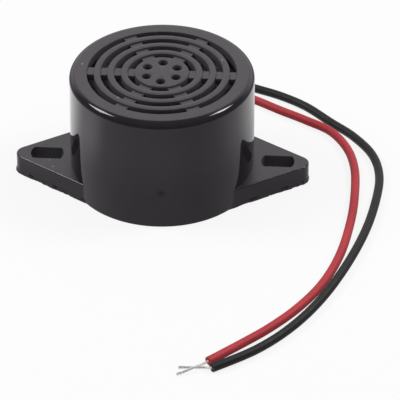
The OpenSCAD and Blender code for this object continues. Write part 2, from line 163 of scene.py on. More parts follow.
# one smooth open spline through the points, with the same curve as the part's source sweeps
def routeCurve(name, route, steps):
    data = bpy.data.curves.new(name, "CURVE")
    data.dimensions = "3D"
    data.resolution_u = steps
    spline = data.splines.new("BEZIER")
    spline.bezier_points.add(len(route) - 1)
    points = [Vector(p) * mm for p in route]
    last = len(points) - 1
    for i, knot in enumerate(spline.bezier_points):
        reach = (points[min(i + 1, last)] - points[max(i - 1, 0)]) / 6  # of the step between its neighbours
        knot.handle_left_type = knot.handle_right_type = "FREE"
        knot.co = points[i]
        knot.handle_left, knot.handle_right = points[i] - reach, points[i] + reach
    return data


def makeLead(name, route):
    data = routeCurve(name, route, leadSizes["stepsPerPoint"])
    data.bevel_depth = leadSizes["diameter"] / 2 * mm
    data.bevel_resolution = leadSizes["roundness"]
    data.use_fill_caps = True
    return placeObject(name, data)


redLead = makeLead("redLead", redRoute)
blackLead = makeLead("blackLead", blackRoute)
for lead in (redLead, blackLead):
    lead.visible_glossy = False  # keeps the polished wall plain
print("leads laid")

# bare ends: seven strands, six of them wound round the middle one
strandSizes = {
    "strands": 6, "strandDiameter": 0.17, "layLength": 4.4, "splay": 0.4, "splayPower": 4.0,
    "routeSteps": 24, "pathSteps": 120, "strandSides": 8,
}


def strandTree(sizes):
    tree, entry, identifiers = startTree("twistedStrands", sizes)
    path = addNode(tree, "GeometryNodeResampleCurve", {"Curve": entry.outputs["Geometry"],
                                                       "Count": entry.outputs["Path steps"]})
    copies = addNode(tree, "GeometryNodeDuplicateElements", {
        "Geometry": path.outputs[0], "Amount": entry.outputs["Strands"]}, domain="SPLINE")
    along = addNode(tree, "GeometryNodeSplineParameter")
    # angle of a strand: its own share of a turn, and one turn for each lay length
    laps = addNode(tree, "ShaderNodeMath", {0: along.outputs["Length"], 1: entry.outputs["Lay length"]},
                   operation="DIVIDE")
    share = addNode(tree, "ShaderNodeMath", {0: copies.outputs["Duplicate Index"],
                                             1: entry.outputs["Strands"]}, operation="DIVIDE")
    turns = addNode(tree, "ShaderNodeMath", {0: laps.outputs[0], 1: share.outputs[0]}, operation="ADD")
    angle = addNode(tree, "ShaderNodeMath", {0: turns.outputs[0], 1: math.tau}, operation="MULTIPLY")
    # the winding opens a little towards the cut tips
    loose = addNode(tree, "ShaderNodeMath", {0: along.outputs["Factor"], 1: entry.outputs["Splay power"]},
                    operation="POWER")
    opened = addNode(tree, "ShaderNodeMath", {0: loose.outputs[0], 1: entry.outputs["Splay"], 2: 1.0},
                     operation="MULTIPLY_ADD")
    reach = addNode(tree, "ShaderNodeMath", {0: opened.outputs[0], 1: entry.outputs["Strand diameter"]},
                    operation="MULTIPLY")
    normal = addNode(tree, "GeometryNodeInputNormal")
    tangent = addNode(tree, "GeometryNodeInputTangent")
    turned = addNode(tree, "ShaderNodeVectorRotate", {
        "Vector": normal.outputs[0], "Axis": tangent.outputs[0], "Angle": angle.outputs[0]})
    offset = addNode(tree, "ShaderNodeVectorMath", {0: turned.outputs[0], "Scale": reach.outputs[0]},
                     operation="SCALE")
    wound = addNode(tree, "GeometryNodeSetPosition", {"Geometry": copies.outputs[0],
                                                      "Offset": offset.outputs[0]})
    both = addNode(tree, "GeometryNodeJoinGeometry", {0: [wound.outputs[0], path.outputs[0]]})
    radius = addNode(tree, "ShaderNodeMath", {0: entry.outputs["Strand diameter"], 1: 2.0}, operation="DIVIDE")
    # a loose tip rests on the table
    spot = addNode(tree, "GeometryNodeInputPosition")
    axes = addNode(tree, "ShaderNodeSeparateXYZ", {0: spot.outputs[0]})
    resting = addNode(tree, "ShaderNodeMath", {0: axes.outputs["Z"], 1: radius.outputs[0]}, operation="MAXIMUM")
    laid = addNode(tree, "ShaderNodeCombineXYZ", {"X": axes.outputs["X"], "Y": axes.outputs["Y"],
                                                  "Z": resting.outputs[0]})
    core = addNode(tree, "GeometryNodeSetPosition", {"Geometry": both.outputs[0], "Position": laid.outputs[0]})
    wire = addNode(tree, "GeometryNodeCurvePrimitiveCircle", {"Resolution": entry.outputs["Strand sides"],
                                                              "Radius": radius.outputs[0]})
    swept = addNode(tree, "GeometryNodeCurveToMesh", {
        "Curve": core.outputs[0], "Profile Curve": wire.outputs[0], "Fill Caps": True})
    whole = addNode(tree, "GeometryNodeRealizeInstances", {0: swept.outputs[0]})
    finish = addNode(tree, "GeometryNodeSetMaterial", {"Geometry": whole.outputs[0],
                                                       "Material": entry.outputs["Material"]})
    addNode(tree, "NodeGroupOutput", {0: finish.outputs[0]})
    return tree, identifiers


dentPlace = (1.36, -20.96, 9.24)  # low on the front wall

# grain, bump height, dust and the pit's painted shade are sized in mm; satin and gloss come from the same black
# ABS:
# the mould was matt where the grille is and polished elsewhere
finishes = {
    # polished black ABS: near-mirror sides that show their surroundings, with faint ripples of the moulding
    # and a dull dent, whose colour is darkened as painted shade
    "polishedBlackAbs": {"light": "#29262a", "dark": "#221f23", "grain": 6.0, "rough": (0.05, 0.09),
                         "ior": 1.5, "sheen": "#fff3ff", "bump": 0.02, "bumpHeight": 0.01,
                         "dullPitAndShade": {"place": dentPlace, "radius": 1.5, "colour": "#0a090a", "specular": 0.35}},
    # black ABS from a spark-eroded mould face: an even matt grain that greys under the light,
    # with specks of dust; the real grain, about 0.05 mm, is too fine to show, so it is drawn coarser
    "satinBlackAbs": {"light": "#302d31", "dark": "#272428", "grain": 0.22, "rough": (0.3, 0.42),
                      "ior": 1.5, "specular": 0.75, "sheen": "#fff3ff", "bump": 0.25, "bumpHeight": 0.01,
                      "dust": {"spacing": 4.0, "size": 0.26, "colour": "#b9b6b2"}},
    # the same ABS on the walls of slots and holes: matt, with no mirror, and painted a lighter grey
    # as painted light, so the walls read lighter in their shade
    "mattSlotAbsPaintedLight": {"light": "#4c494d", "dark": "#413e42", "grain": 0.3, "rough": (0.6, 0.75),
                        "ior": 1.5, "bump": 0.3, "bumpHeight": 0.01},
    # ABS of the resonator, which closes the slots from behind: matt, in a grey lightened as painted light, so
    # the slot bottoms in shade read lighter
    "resonatorAbsPaintedLight": {"light": "#6a676b", "dark": "#5c595d", "grain": 0.3, "rough": (0.45, 0.6),
                    "ior": 1.5, "bump": 0.2, "bumpHeight": 0.01},
    # red PVC insulation: soft satin, slightly uneven in colour where it was handled
    "redPvc": {"light": "#bd3a42", "dark": "#a82e37", "grain": 1.6, "rough": (0.46, 0.6), "specular": 0.28,
               "ior": 1.53, "bump": 0.15, "bumpHeight": 0.02},
    # black PVC insulation: the same satin, with a grey bloom
    "blackPvc": {"light": "#232324", "dark": "#1a1a1c", "grain": 1.6, "rough": (0.46, 0.6), "specular": 0.3,
                 "ior": 1.53, "bump": 0.15, "bumpHeight": 0.02},
    # blue PVC on the thin feedback wire: a satin gloss
    "bluePvc": {"light": "#35589f", "dark": "#284887", "grain": 1.2, "rough": (0.36, 0.5),
                "ior": 1.53, "bump": 0.1, "bumpHeight": 0.02},
    # tinned copper: bright grey metal, dulled in patches
    "tinnedCopper": {"light": "#fbfaf7", "dark": "#e6e3dc", "grain": 0.5, "rough": (0.3, 0.5),
                     "metallic": 0.4, "bump": 0.1, "bumpHeight": 0.01},
    # solder: smoother and a little darker than the tinned wire
    "solderAlloy": {"light": "#c9cacb", "dark": "#a5a6a8", "grain": 0.6, "rough": (0.2, 0.4),
                    "metallic": 1.0, "bump": 0.2, "bumpHeight": 0.02},
    # rolled brass of the diaphragm: yellow, with a soft shine
    "rolledBrass": {"light": "#d9b766", "dark": "#b99347", "grain": 0.9, "rough": (0.22, 0.36),
                    "metallic": 1.0, "bump": 0.05, "bumpHeight": 0.01},
    # silver paste fired on ceramic: pale and chalky
    "firedSilver": {"light": "#d9d6cc", "dark": "#bfbbb0", "grain": 0.35, "rough": (0.45, 0.62),
                    "metallic": 0.6, "bump": 0.2, "bumpHeight": 0.01},
    # paper and resin laminate: tan and faintly mottled
    "paperLaminate": {"light": "#bb8d50", "dark": "#9f7338", "grain": 0.8, "rough": (0.42, 0.58),
                      "ior": 1.55, "bump": 0.15, "bumpHeight": 0.02},
    # pressed ferrite: dark, dull and slightly pitted
    "pressedFerrite": {"light": "#3d3d40", "dark": "#2b2b2e", "grain": 0.3, "rough": (0.55, 0.72),
                       "ior": 1.6, "bump": 0.3, "bumpHeight": 0.02},
    # enamelled copper wire, wound so fine that its turns show as a warm ripple
    "enamelledCopper": {"light": "#b9713b", "dark": "#8c4b22", "grain": 0.25, "rough": (0.25, 0.38),
                        "metallic": 0.8, "bump": 0.4, "bumpHeight": 0.03},
    # moulded epoxy of the transistor and diode: dull and nearly black
    "mouldedEpoxy": {"light": "#28282a", "dark": "#1d1d1f", "grain": 0.2, "rough": (0.5, 0.65),
                     "ior": 1.55, "bump": 0.2, "bumpHeight": 0.01},
    # lacquer of the resistors, and then of the disc capacitor: smooth, with a low gloss
    "tanLacquer": {"light": "#cfae84", "dark": "#b99568", "grain": 0.5, "rough": (0.3, 0.45),
                   "ior": 1.5, "bump": 0.15, "bumpHeight": 0.02},
    "ochreLacquer": {"light": "#c9823b", "dark": "#ad6a2a", "grain": 0.5, "rough": (0.35, 0.5),
                     "ior": 1.5, "bump": 0.2, "bumpHeight": 0.02},
    # natural ABS of the spacer ring: ivory, with a low gloss
    "ivoryAbs": {"light": "#dcd9cf", "dark": "#cbc7bb", "grain": 0.4, "rough": (0.35, 0.5),
                 "ior": 1.5, "bump": 0.1, "bumpHeight": 0.01},
    # hot-melt glue: waxy and pale
    "hotGlue": {"light": "#d8d2be", "dark": "#c6bfa8", "grain": 1.0, "rough": (0.3, 0.45),
                "ior": 1.48, "bump": 0.3, "bumpHeight": 0.05},
}
# shared by all finishes: the width of a blotch in grains, and the part of the noise that gives full contrast
patternLook = {
    "grainDetail": 4.0, "grainRoughness": 0.55, "blotchGrains": 8, "blotchDetail": 2.0,
    "toneRange": (0.7, 1.3), "roughRange": (0.3, 0.7),
}


def makeFinish(name, look):
    material = bpy.data.materials.new(name)
    material.use_nodes = True
    tree = material.node_tree
    tree.nodes.clear()
    toneLow, toneHigh = patternLook["toneRange"]
    roughLow, roughHigh = patternLook["roughRange"]
    place = addNode(tree, "ShaderNodeTexCoord")
    grain = addNode(tree, "ShaderNodeTexNoise", {
        "Vector": place.outputs["Object"], "Scale": 1 / (look["grain"] * mm),
        "Detail": patternLook["grainDetail"], "Roughness": patternLook["grainRoughness"]})
    blotch = addNode(tree, "ShaderNodeTexNoise", {
        "Vector": place.outputs["Object"], "Scale": 1 / (patternLook["blotchGrains"] * look["grain"] * mm),
        "Detail": patternLook["blotchDetail"]})
    mixed = addNode(tree, "ShaderNodeMath", {0: grain.outputs["Fac"], 1: blotch.outputs["Fac"]},
                    operation="ADD")
    tone = addNode(tree, "ShaderNodeMapRange", {
        "Value": mixed.outputs[0], "From Min": toneLow, "From Max": toneHigh})
    colour = addNode(tree, "ShaderNodeMix", {
        0: tone.outputs[0], 6: linear(look["dark"]), 7: linear(look["light"])}, data_type="RGBA")
    if "dust" in look:
        dust = look["dust"]
        cells = addNode(tree, "ShaderNodeTexVoronoi", {"Vector": place.outputs["Object"],
                                                       "Scale": 1 / (dust["spacing"] * mm)})
        speck = addNode(tree, "ShaderNodeMapRange", {
            "Value": cells.outputs["Distance"], "From Max": dust["size"] / dust["spacing"],
            "To Min": 1.0, "To Max": 0.0})
        colour = addNode(tree, "ShaderNodeMix", {
            0: speck.outputs[0], 6: colour.outputs[2], 7: linear(dust["colour"])}, data_type="RGBA")
    specular = look.get("specular", 0.5)
    # painted shade: round the dent the colour darkens, and the gloss is dulled
    if "dullPitAndShade" in look:
        dullPitAndShade = look["dullPitAndShade"]
        away = addNode(tree, "ShaderNodeVectorMath", {
            0: place.outputs["Object"], 1: [v * mm for v in dullPitAndShade["place"]]}, operation="DISTANCE")
        pitShade = addNode(tree, "ShaderNodeMapRange", {
            "Value": away.outputs["Value"], "From Max": dullPitAndShade["radius"] * mm, "To Min": 1.0, "To Max": 0.0},
            interpolation_type="SMOOTHSTEP")
        colour = addNode(tree, "ShaderNodeMix", {
            0: pitShade.outputs[0], 6: colour.outputs[2], 7: linear(dullPitAndShade["colour"])}, data_type="RGBA")
        specular = addNode(tree, "ShaderNodeMapRange", {
            "Value": pitShade.outputs[0], "To Min": specular, "To Max": dullPitAndShade["specular"]}).outputs[0]
    rough = addNode(tree, "ShaderNodeMapRange", {
        "Value": grain.outputs["Fac"], "From Min": roughLow, "From Max": roughHigh,
        "To Min": look["rough"][0], "To Max": look["rough"][1]})
    bump = addNode(tree, "ShaderNodeBump", {
        "Height": grain.outputs["Fac"], "Strength": look["bump"], "Distance": look["bumpHeight"] * mm})
    surface = addNode(tree, "ShaderNodeBsdfPrincipled", {
        "Base Color": colour.outputs[2], "Roughness": rough.outputs[0], "Normal": bump.outputs[0],
        "Metallic": look.get("metallic", 0.0), "IOR": look.get("ior", 1.5),
        "Specular IOR Level": specular,
        "Specular Tint": linear(look.get("sheen", "#ffffff"))})
    addNode(tree, "ShaderNodeOutputMaterial", {"Surface": surface.outputs[0]})
    return material


materials = {name: makeFinish(name, look) for name, look in finishes.items()}
print("finishes made:", len(materials))

strandInputs = {
    "Strands": strandSizes["strands"], "Strand diameter": strandSizes["strandDiameter"] * mm,
    "Lay length": strandSizes["layLength"] * mm, "Splay": strandSizes["splay"],
    "Splay power": strandSizes["splayPower"], "Path steps": strandSizes["pathSteps"],
    "Strand sides": strandSizes["strandSides"], "Material": materials["tinnedCopper"],
}
strandGroup, strandSockets = strandTree(strandInputs)


def makeStrands(name, route):
    host = placeObject(name + "Path", routeCurve(name + "Path", route, strandSizes["routeSteps"]))
    piece = bakePiece(name, host, strandGroup, strandInputs, strandSockets)
    piece.data.shade_smooth()
    return piece


redBareEnd = makeStrands("redBareEnd", redEndRoute)
blackBareEnd = makeStrands("blackBareEnd", blackEndRoute)
redLead.data.materials.append(materials["redPvc"])
blackLead.data.materials.append(materials["blackPvc"])
# lead, bare end, their nodes, the lead's slot, its side of the exit, and its length in metres
leadPieces = [
    (redLead, redBareEnd, "red_lead", "red_strands", "red_pvc", 1, 0.1490),
    (blackLead, blackBareEnd, "black_lead", "black_strands", "black_pvc", -1, 0.1657),
]
for lead, bareEnd, leadNode, endNode, leadSlot, side, length in leadPieces:
    for piece, node, slot in ((lead, leadNode, leadSlot), (bareEnd, endNode, "tinned_copper")):
        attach(piece, "root")
        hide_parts(node)
print("bare ends wound")

# case: one moulding, turned shell and hub, ears, grille lands and bars
caseSizes = {
    "bodyRadius": 21.0, "height": 28.0, "topRound": 1.6, "footRound": 0.25,
    "wall": 2.0, "top": 2.0, "coverDepth": 1.6, "coverStep": 0.8, "chamberStep": 1.5, "chamberDepth": 2.0,
    "hubRadius": 6.15, "slotWidth": 1.58, "landWidth": 1.49, "slotRings": 4, "edgeRound": 0.14,
    "barCount": 6, "barWidth": 3.0, "barDrop": 0.35, "barUnderside": 0.05, "barOverlap": 0.25,
    "hubHole": 2.2, "hubHoleRing": 7.7, "hubHoleRound": 0.12, "hubHoleSides": 48,
    "dentPlace": dentPlace, "dentRound": 3.0, "dentDepth": 0.14, "dentLevels": 5,
    "segments": 240, "roundSteps": 10, "edgeSteps": 4,
    "cutterSpare": 1,  # how far a cutter stands past what it cuts
    "axisRadius": 1e-6, "mergeGap": 2e-4, "slimEdge": 1e-4,  # limits for clean meshes
    "flatNormal": 0.98, "finishSlack": 0.01, "earStart": 0.05,  # limits for each finish
    "sharpAngle": 35,  # degrees
}
earSizes = {
    "thickness": 4.7, "angle": 33.6, "tipX": 31.0, "tipRadius": 2.6, "topRound": 0.3, "footRound": 0.15,
    "rootRadius": 20.3, "lift": 0.02, "holeX": 26.5, "holeDiameter": 7.6, "holeFlats": 4.4,
    "tipSteps": 28, "rootSteps": 24, "sideSteps": 28, "footSteps": 3, "roundSteps": 4, "holeSteps": 24,
    # flash: how far it stands out at most, its mean and swing in shares of that, its share at each height,
    # and the length and share of each wave along the edge
    "flashReach": 0.42, "flashMean": 0.45, "flashSwing": 0.55,
    "flashLevels": ((0.45, 1.0), (0.75, 0.6), (1.0, 0.15), (1.15, 0.0)),
    "flashWaves": ((7.3, 0.5), (3.1, 0.3), (1.9, 0.2)),
}


# points of an arc about a centre, from one direction to another, in degrees
def arc(centre, radius, start, stop, steps):
    return [(centre[0] + radius * math.cos(math.radians(start + (stop - start) * k / steps)),
             centre[1] + radius * math.sin(math.radians(start + (stop - start) * k / steps)))
            for k in range(steps + 1)]


# turns a closed outline of (radius, height) points round the Z axis
def turnOutline(name, outline, segments):
    build = bmesh.new()
    rings = []
    for r, z in outline:
        if r < caseSizes["axisRadius"]:
            rings.append([build.verts.new((0, 0, z * mm))] * segments)
            continue
        rings.append([build.verts.new((r * mm * math.cos(math.tau * k / segments),
                                       r * mm * math.sin(math.tau * k / segments), z * mm))
                      for k in range(segments)])
    for i, ring in enumerate(rings):
        following = rings[(i + 1) % len(rings)]
        for k in range(segments):
            n = (k + 1) % segments
            corners = []
            for corner in (ring[k], ring[n], following[n], following[k]):
                if corner not in corners:
                    corners.append(corner)
            if len(corners) > 2:
                build.faces.new(corners)
    bmesh.ops.recalc_face_normals(build, faces=build.faces)
    return placeBuild(name, build)


# closes a stack of equal loops into a solid, with flat ends
def stackLoops(name, loops):
    build = bmesh.new()
    rows = [[build.verts.new(Vector(p) * mm) for p in loop] for loop in loops]
    count = len(rows[0])
    for low, high in zip(rows, rows[1:]):
        for k in range(count):
            build.faces.new((low[k], low[(k + 1) % count], high[(k + 1) % count], high[k]))
    build.faces.new(list(reversed(rows[0])))
    build.faces.new(rows[-1])
    bmesh.ops.recalc_face_normals(build, faces=build.faces)
    return placeBuild(name, build)


# outer edge of the grille, at the last slot
def grilleRim(s):
    return s["hubRadius"] + s["slotRings"] * s["slotWidth"] + (s["slotRings"] - 1) * s["landWidth"]


def makeShell(s):
    outer, top = s["bodyRadius"], s["height"]
    cavity = outer - s["wall"]
    ceiling = top - s["top"]
    rim = grilleRim(s)
    foot, big, small = s["footRound"], s["topRound"], s["edgeRound"]
    outline = arc((outer - foot, foot), foot, -90, 0, s["edgeSteps"])
    outline += arc((outer - big, top - big), big, 0, 90, s["roundSteps"])
    outline += arc((rim + small, top - small), small, 90, 180, s["edgeSteps"])
    outline += [(rim, ceiling), (cavity - s["chamberStep"], ceiling),
                (cavity - s["chamberStep"], ceiling - s["chamberDepth"]),
                (cavity, ceiling - s["chamberDepth"]), (cavity, s["coverDepth"]),
                (cavity + s["coverStep"], s["coverDepth"]), (cavity + s["coverStep"], 0)]
    return turnOutline("shell", outline, s["segments"])


def makeHub(s):
    top, small = s["height"], s["edgeRound"]
    outline = [(0, top - s["top"]), (s["hubRadius"], top - s["top"])]
    outline += arc((s["hubRadius"] - small, top - small), small, 0, 90, s["edgeSteps"])
    outline += [(0, top)]
    return turnOutline("hub", outline, s["segments"] // 2)


# the points inside a straight stretch
def between(start, stop, steps):
    return [tuple(a + (b - a) * k / steps for a, b in zip(start, stop)) for k in range(1, steps)]


# outline of an ear at one height: round tip, straight sides, and a root inside the shell
def earLoop(s, inset, z, side):
    a = math.radians(s["angle"])
    reach = 90 - s["angle"]
    tip = arc((s["tipX"], 0), s["tipRadius"] - inset, -reach, reach, s["tipSteps"])
    gap = s["tipX"] * math.sin(a) + s["tipRadius"] - inset
    along = math.sqrt(s["rootRadius"] ** 2 - gap ** 2)
    rootX = gap * math.sin(a) + along * math.cos(a)
    rootY = gap * math.cos(a) - along * math.sin(a)
    spread = math.degrees(math.atan2(rootY, rootX))
    root = arc((0, 0), s["rootRadius"], spread, -spread, s["rootSteps"])
    loop = tip + between(tip[-1], root[0], s["sideSteps"])
    loop += root + between(root[-1], tip[0], s["sideSteps"])
    return [(side * x, y, z) for x, y in loop]


# pushes a loop out by the uneven flash that the mould left along the foot of the ears;
# the same loop 1 mm further in gives the way out
def flashLoop(s, inset, z, side, share):
    edge, inner = earLoop(s, inset, z, side), earLoop(s, inset + 1, z, side)
    loop, run = [], 0.0
    for k, (spot, inside) in enumerate(zip(edge, inner)):
        run += math.dist(spot, edge[k - 1])
        wave = sum(part * math.sin(math.tau * run / length + side) for length, part in s["flashWaves"])
        push = share * s["flashReach"] * max(0.0, s["flashMean"] + s["flashSwing"] * wave)
        loop.append(tuple(a + (a - b) * push for a, b in zip(spot, inside)))
    return loop


def makeEar(s, side):
    # inset, height and share of flash, from the foot up
    footRound = arc((s["footRound"], s["lift"] + s["footRound"]), s["footRound"], 270, 180, s["footSteps"])
    topRound = arc((s["topRound"], s["thickness"] - s["topRound"]), s["topRound"], 180, 90, s["roundSteps"])
    levels = [(inset, z, 1.0) for inset, z in footRound]
    levels += [(0.0, z, share) for z, share in s["flashLevels"]]
    levels += [(inset, z, 0.0) for inset, z in topRound]
    return stackLoops("ear", [flashLoop(s, inset, z, side, share) for inset, z, share in levels])


def makeScrewHole(s, side):
    half = math.degrees(math.asin(s["holeFlats"] / s["holeDiameter"]))
    loop = arc((s["holeX"], 0), s["holeDiameter"] / 2, -half, half, s["holeSteps"])
    loop += arc((s["holeX"], 0), s["holeDiameter"] / 2, 180 - half, 180 + half, s["holeSteps"])
    spare = caseSizes["cutterSpare"]
    ends = (-spare, s["thickness"] + spare)
    return stackLoops("screwHole", [[(side * x, y, z) for x, y in loop] for z in ends])


def makeLeadHole(side):
    centre = side * leadSizes["pitch"] / 2
    radius = leadSizes["diameter"] / 2 + leadSizes["holeGap"]
    ring = arc((centre, leadSizes["exitHeight"]), radius, 0, 360, leadSizes["holeSides"])[:-1]
    ends = [leadSizes["exitDepth"] + reach for reach in leadSizes["holeReach"]]
    return stackLoops("leadHole", [[(x, y, z) for x, z in ring] for y in ends])


# ring lands and crossing bars of the grille, all with softly rounded edges
def grilleTree(sizes):
    tree, entry, identifiers = startTree("grilleLands", sizes)
    first = addNode(tree, "ShaderNodeMath", {0: entry.outputs["Land width"], 1: 0.5,
                                             2: entry.outputs["First land"]}, operation="MULTIPLY_ADD")
    number = addNode(tree, "GeometryNodeInputIndex")
    radius = addNode(tree, "ShaderNodeMath", {0: number.outputs[0], 1: entry.outputs["Pitch"],
                                              2: first.outputs[0]}, operation="MULTIPLY_ADD")
    spots = addNode(tree, "GeometryNodePoints", {"Count": entry.outputs["Lands"]})
    circle = addNode(tree, "GeometryNodeCurvePrimitiveCircle", {"Resolution": entry.outputs["Segments"],
                                                                "Radius": 1.0})
    circles = addNode(tree, "GeometryNodeInstanceOnPoints", {
        "Points": spots.outputs[0], "Instance": circle.outputs[0], "Scale": radius.outputs[0]})
    paths = addNode(tree, "GeometryNodeRealizeInstances", {0: circles.outputs[0]})
    even = addNode(tree, "GeometryNodeSetCurveRadius", {"Curve": paths.outputs[0], "Radius": 1.0})
    section = addNode(tree, "GeometryNodeCurvePrimitiveQuadrilateral", {
        "Width": entry.outputs["Land width"], "Height": entry.outputs["Thickness"]})
    softened = addNode(tree, "GeometryNodeFilletCurve", {
        "Curve": section.outputs[0], "Count": entry.outputs["Edge steps"],
        "Radius": entry.outputs["Edge round"]}, mode="POLY")
    lands = addNode(tree, "GeometryNodeCurveToMesh", {"Curve": even.outputs[0],
                                                      "Profile Curve": softened.outputs[0]})
    level = addNode(tree, "ShaderNodeMath", {0: entry.outputs["Thickness"], 1: -0.5,
                                             2: entry.outputs["Height"]}, operation="MULTIPLY_ADD")
    lift = addNode(tree, "ShaderNodeCombineXYZ", {"Z": level.outputs[0]})
    landsUp = addNode(tree, "GeometryNodeTransform", {"Geometry": lands.outputs[0],
                                                      "Translation": lift.outputs[0]})
    # bars: each runs right across, so half as many as there are arms
    armEnd = addNode(tree, "ShaderNodeCombineXYZ", {"X": entry.outputs["Bar reach"]})
    armStart = addNode(tree, "ShaderNodeVectorMath", {0: armEnd.outputs[0], "Scale": -1.0},
                       operation="SCALE")
    rail = addNode(tree, "GeometryNodeCurvePrimitiveLine", {"Start": armStart.outputs[0],
                                                            "End": armEnd.outputs[0]})
    barSection = addNode(tree, "GeometryNodeCurvePrimitiveQuadrilateral", {
        "Width": entry.outputs["Bar width"], "Height": entry.outputs["Bar thickness"]})
    barSoft = addNode(tree, "GeometryNodeFilletCurve", {
        "Curve": barSection.outputs[0], "Count": entry.outputs["Edge steps"],
        "Radius": entry.outputs["Edge round"]}, mode="POLY")
    bar = addNode(tree, "GeometryNodeCurveToMesh", {
        "Curve": rail.outputs[0], "Profile Curve": barSoft.outputs[0], "Fill Caps": True})
    pairs = addNode(tree, "ShaderNodeMath", {0: entry.outputs["Bars"], 1: 2.0}, operation="DIVIDE")
    step = addNode(tree, "ShaderNodeMath", {0: math.tau, 1: entry.outputs["Bars"]}, operation="DIVIDE")
    bearing = addNode(tree, "ShaderNodeMath", {0: number.outputs[0], 1: step.outputs[0]}, operation="MULTIPLY")
    turn = addNode(tree, "ShaderNodeCombineXYZ", {"Z": bearing.outputs[0]})
    facing = addNode(tree, "FunctionNodeEulerToRotation", {0: turn.outputs[0]})
    hubs = addNode(tree, "GeometryNodePoints", {"Count": pairs.outputs[0]})
    barCopies = addNode(tree, "GeometryNodeInstanceOnPoints", {
        "Points": hubs.outputs[0], "Instance": bar.outputs[0], "Rotation": facing.outputs[0]})
    barMesh = addNode(tree, "GeometryNodeRealizeInstances", {0: barCopies.outputs[0]})
    barLift = addNode(tree, "ShaderNodeCombineXYZ", {"Z": entry.outputs["Bar level"]})
    barsUp = addNode(tree, "GeometryNodeTransform", {"Geometry": barMesh.outputs[0],
                                                     "Translation": barLift.outputs[0]})
    whole = addNode(tree, "GeometryNodeMeshBoolean", {
        1: [landsUp.outputs[0], barsUp.outputs[0]], "Self Intersection": True},
        operation="UNION", solver="EXACT")
    real = addNode(tree, "GeometryNodeRealizeInstances", {0: whole.outputs[0]})
    finish = addNode(tree, "GeometryNodeSetMaterial", {"Geometry": real.outputs[0],
                                                       "Material": entry.outputs["Material"]})
    addNode(tree, "NodeGroupOutput", {0: finish.outputs[0]})
    return tree, identifiers


def makeGrille(s):
    low, high = s["height"] - s["top"] + s["barUnderside"], s["height"] - s["barDrop"]
    sizes = {
        "First land": (s["hubRadius"] + s["slotWidth"]) * mm, "Land width": s["landWidth"] * mm,
        "Pitch": (s["slotWidth"] + s["landWidth"]) * mm, "Lands": s["slotRings"] - 1,
        "Thickness": s["top"] * mm, "Height": s["height"] * mm, "Edge round": s["edgeRound"] * mm,
        "Edge steps": s["edgeSteps"] - 1, "Segments": s["segments"], "Bars": s["barCount"],
        "Bar width": s["barWidth"] * mm, "Bar thickness": (high - low) * mm,
        "Bar level": (low + high) / 2 * mm, "Bar reach": (grilleRim(s) + s["barOverlap"]) * mm,
        "Material": materials["satinBlackAbs"],
    }
    tree, identifiers = grilleTree(sizes)
    host = placeObject("grilleHost", bpy.data.meshes.new("grilleHost"))
    return bakePiece("grille", host, tree, sizes, identifiers)


# sound holes in the hub: one flared cutter, set round a circle
def holeTree(sizes):
    tree, entry, identifiers = startTree("hubHoles", sizes)
    ring = addNode(tree, "GeometryNodeMeshCircle", {"Vertices": entry.outputs["Holes"],
                                                    "Radius": entry.outputs["Ring radius"]})
    twist = addNode(tree, "ShaderNodeMath", {0: math.pi, 1: entry.outputs["Holes"]}, operation="DIVIDE")
    turn = addNode(tree, "ShaderNodeCombineXYZ", {"Z": twist.outputs[0]})
    facing = addNode(tree, "FunctionNodeEulerToRotation", {0: turn.outputs[0]})
    turned = addNode(tree, "GeometryNodeTransform", {"Geometry": ring.outputs[0],
                                                     "Rotation": facing.outputs[0]})
    copies = addNode(tree, "GeometryNodeInstanceOnPoints", {"Points": turned.outputs[0],
                                                            "Instance": entry.outputs["Geometry"]})
    real = addNode(tree, "GeometryNodeRealizeInstances", {0: copies.outputs[0]})
    finish = addNode(tree, "GeometryNodeSetMaterial", {"Geometry": real.outputs[0],
                                                       "Material": entry.outputs["Material"]})
    addNode(tree, "NodeGroupOutput", {0: finish.outputs[0]})
    return tree, identifiers


def makeHubHoles(s):
    radius, flare, top = s["hubHole"] / 2, s["hubHoleRound"], s["height"]
    low, high = top - s["top"] - s["cutterSpare"], top + s["cutterSpare"]
    outline = [(0, low), (radius, low)]
    outline += arc((radius + flare, top - flare), flare, 180, 90, s["edgeSteps"])
    outline += [(radius + flare, high), (0, high)]
    host = turnOutline("hubHole", outline, s["hubHoleSides"])
    sizes = {"Holes": s["barCount"], "Ring radius": s["hubHoleRing"] / 2 * mm,
             "Material": materials["polishedBlackAbs"]}
    tree, identifiers = holeTree(sizes)
    return bakePiece("hubHoles", host, tree, sizes, identifiers)


# cutter for the shallow dent low on the front wall
def makeDent(s):
    spot = Vector(s["dentPlace"])
    outward = Vector((spot.x, spot.y, 0)).normalized()
    centre = (spot + outward * (s["dentRound"] - s["dentDepth"])) * mm
    build = bmesh.new()
    bmesh.ops.create_icosphere(build, subdivisions=s["dentLevels"], radius=s["dentRound"] * mm,
                               matrix=Matrix.Translation(centre))
    return placeBuild("dent", build)


# satin on what faces up, matt with painted light in slots and screw holes, and polished elsewhere
def caseFinish(s, face):
    spot = face.calc_center_median() / mm
    slack = s["finishSlack"]
    onEar = spot.xy.length > s["bodyRadius"] + s["earStart"]
    onEarEdge = onEar and spot.z > earSizes["thickness"] - earSizes["topRound"]
    inSlot = spot.xy.length < grilleRim(s) + s["edgeRound"] and spot.z > s["height"] - s["top"] - slack
    fromHole = math.hypot(abs(spot.x) - earSizes["holeX"], spot.y)
    inScrewHole = fromHole < earSizes["holeDiameter"] / 2 + slack
    if face.normal.z > s["flatNormal"]:
        return "satinBlackAbs"
    # painted light: slot and screw-hole walls take the lighter grey finish
    if (inSlot or inScrewHole) and not onEarEdge:
        return "mattSlotAbsPaintedLight"
    return "polishedBlackAbs"


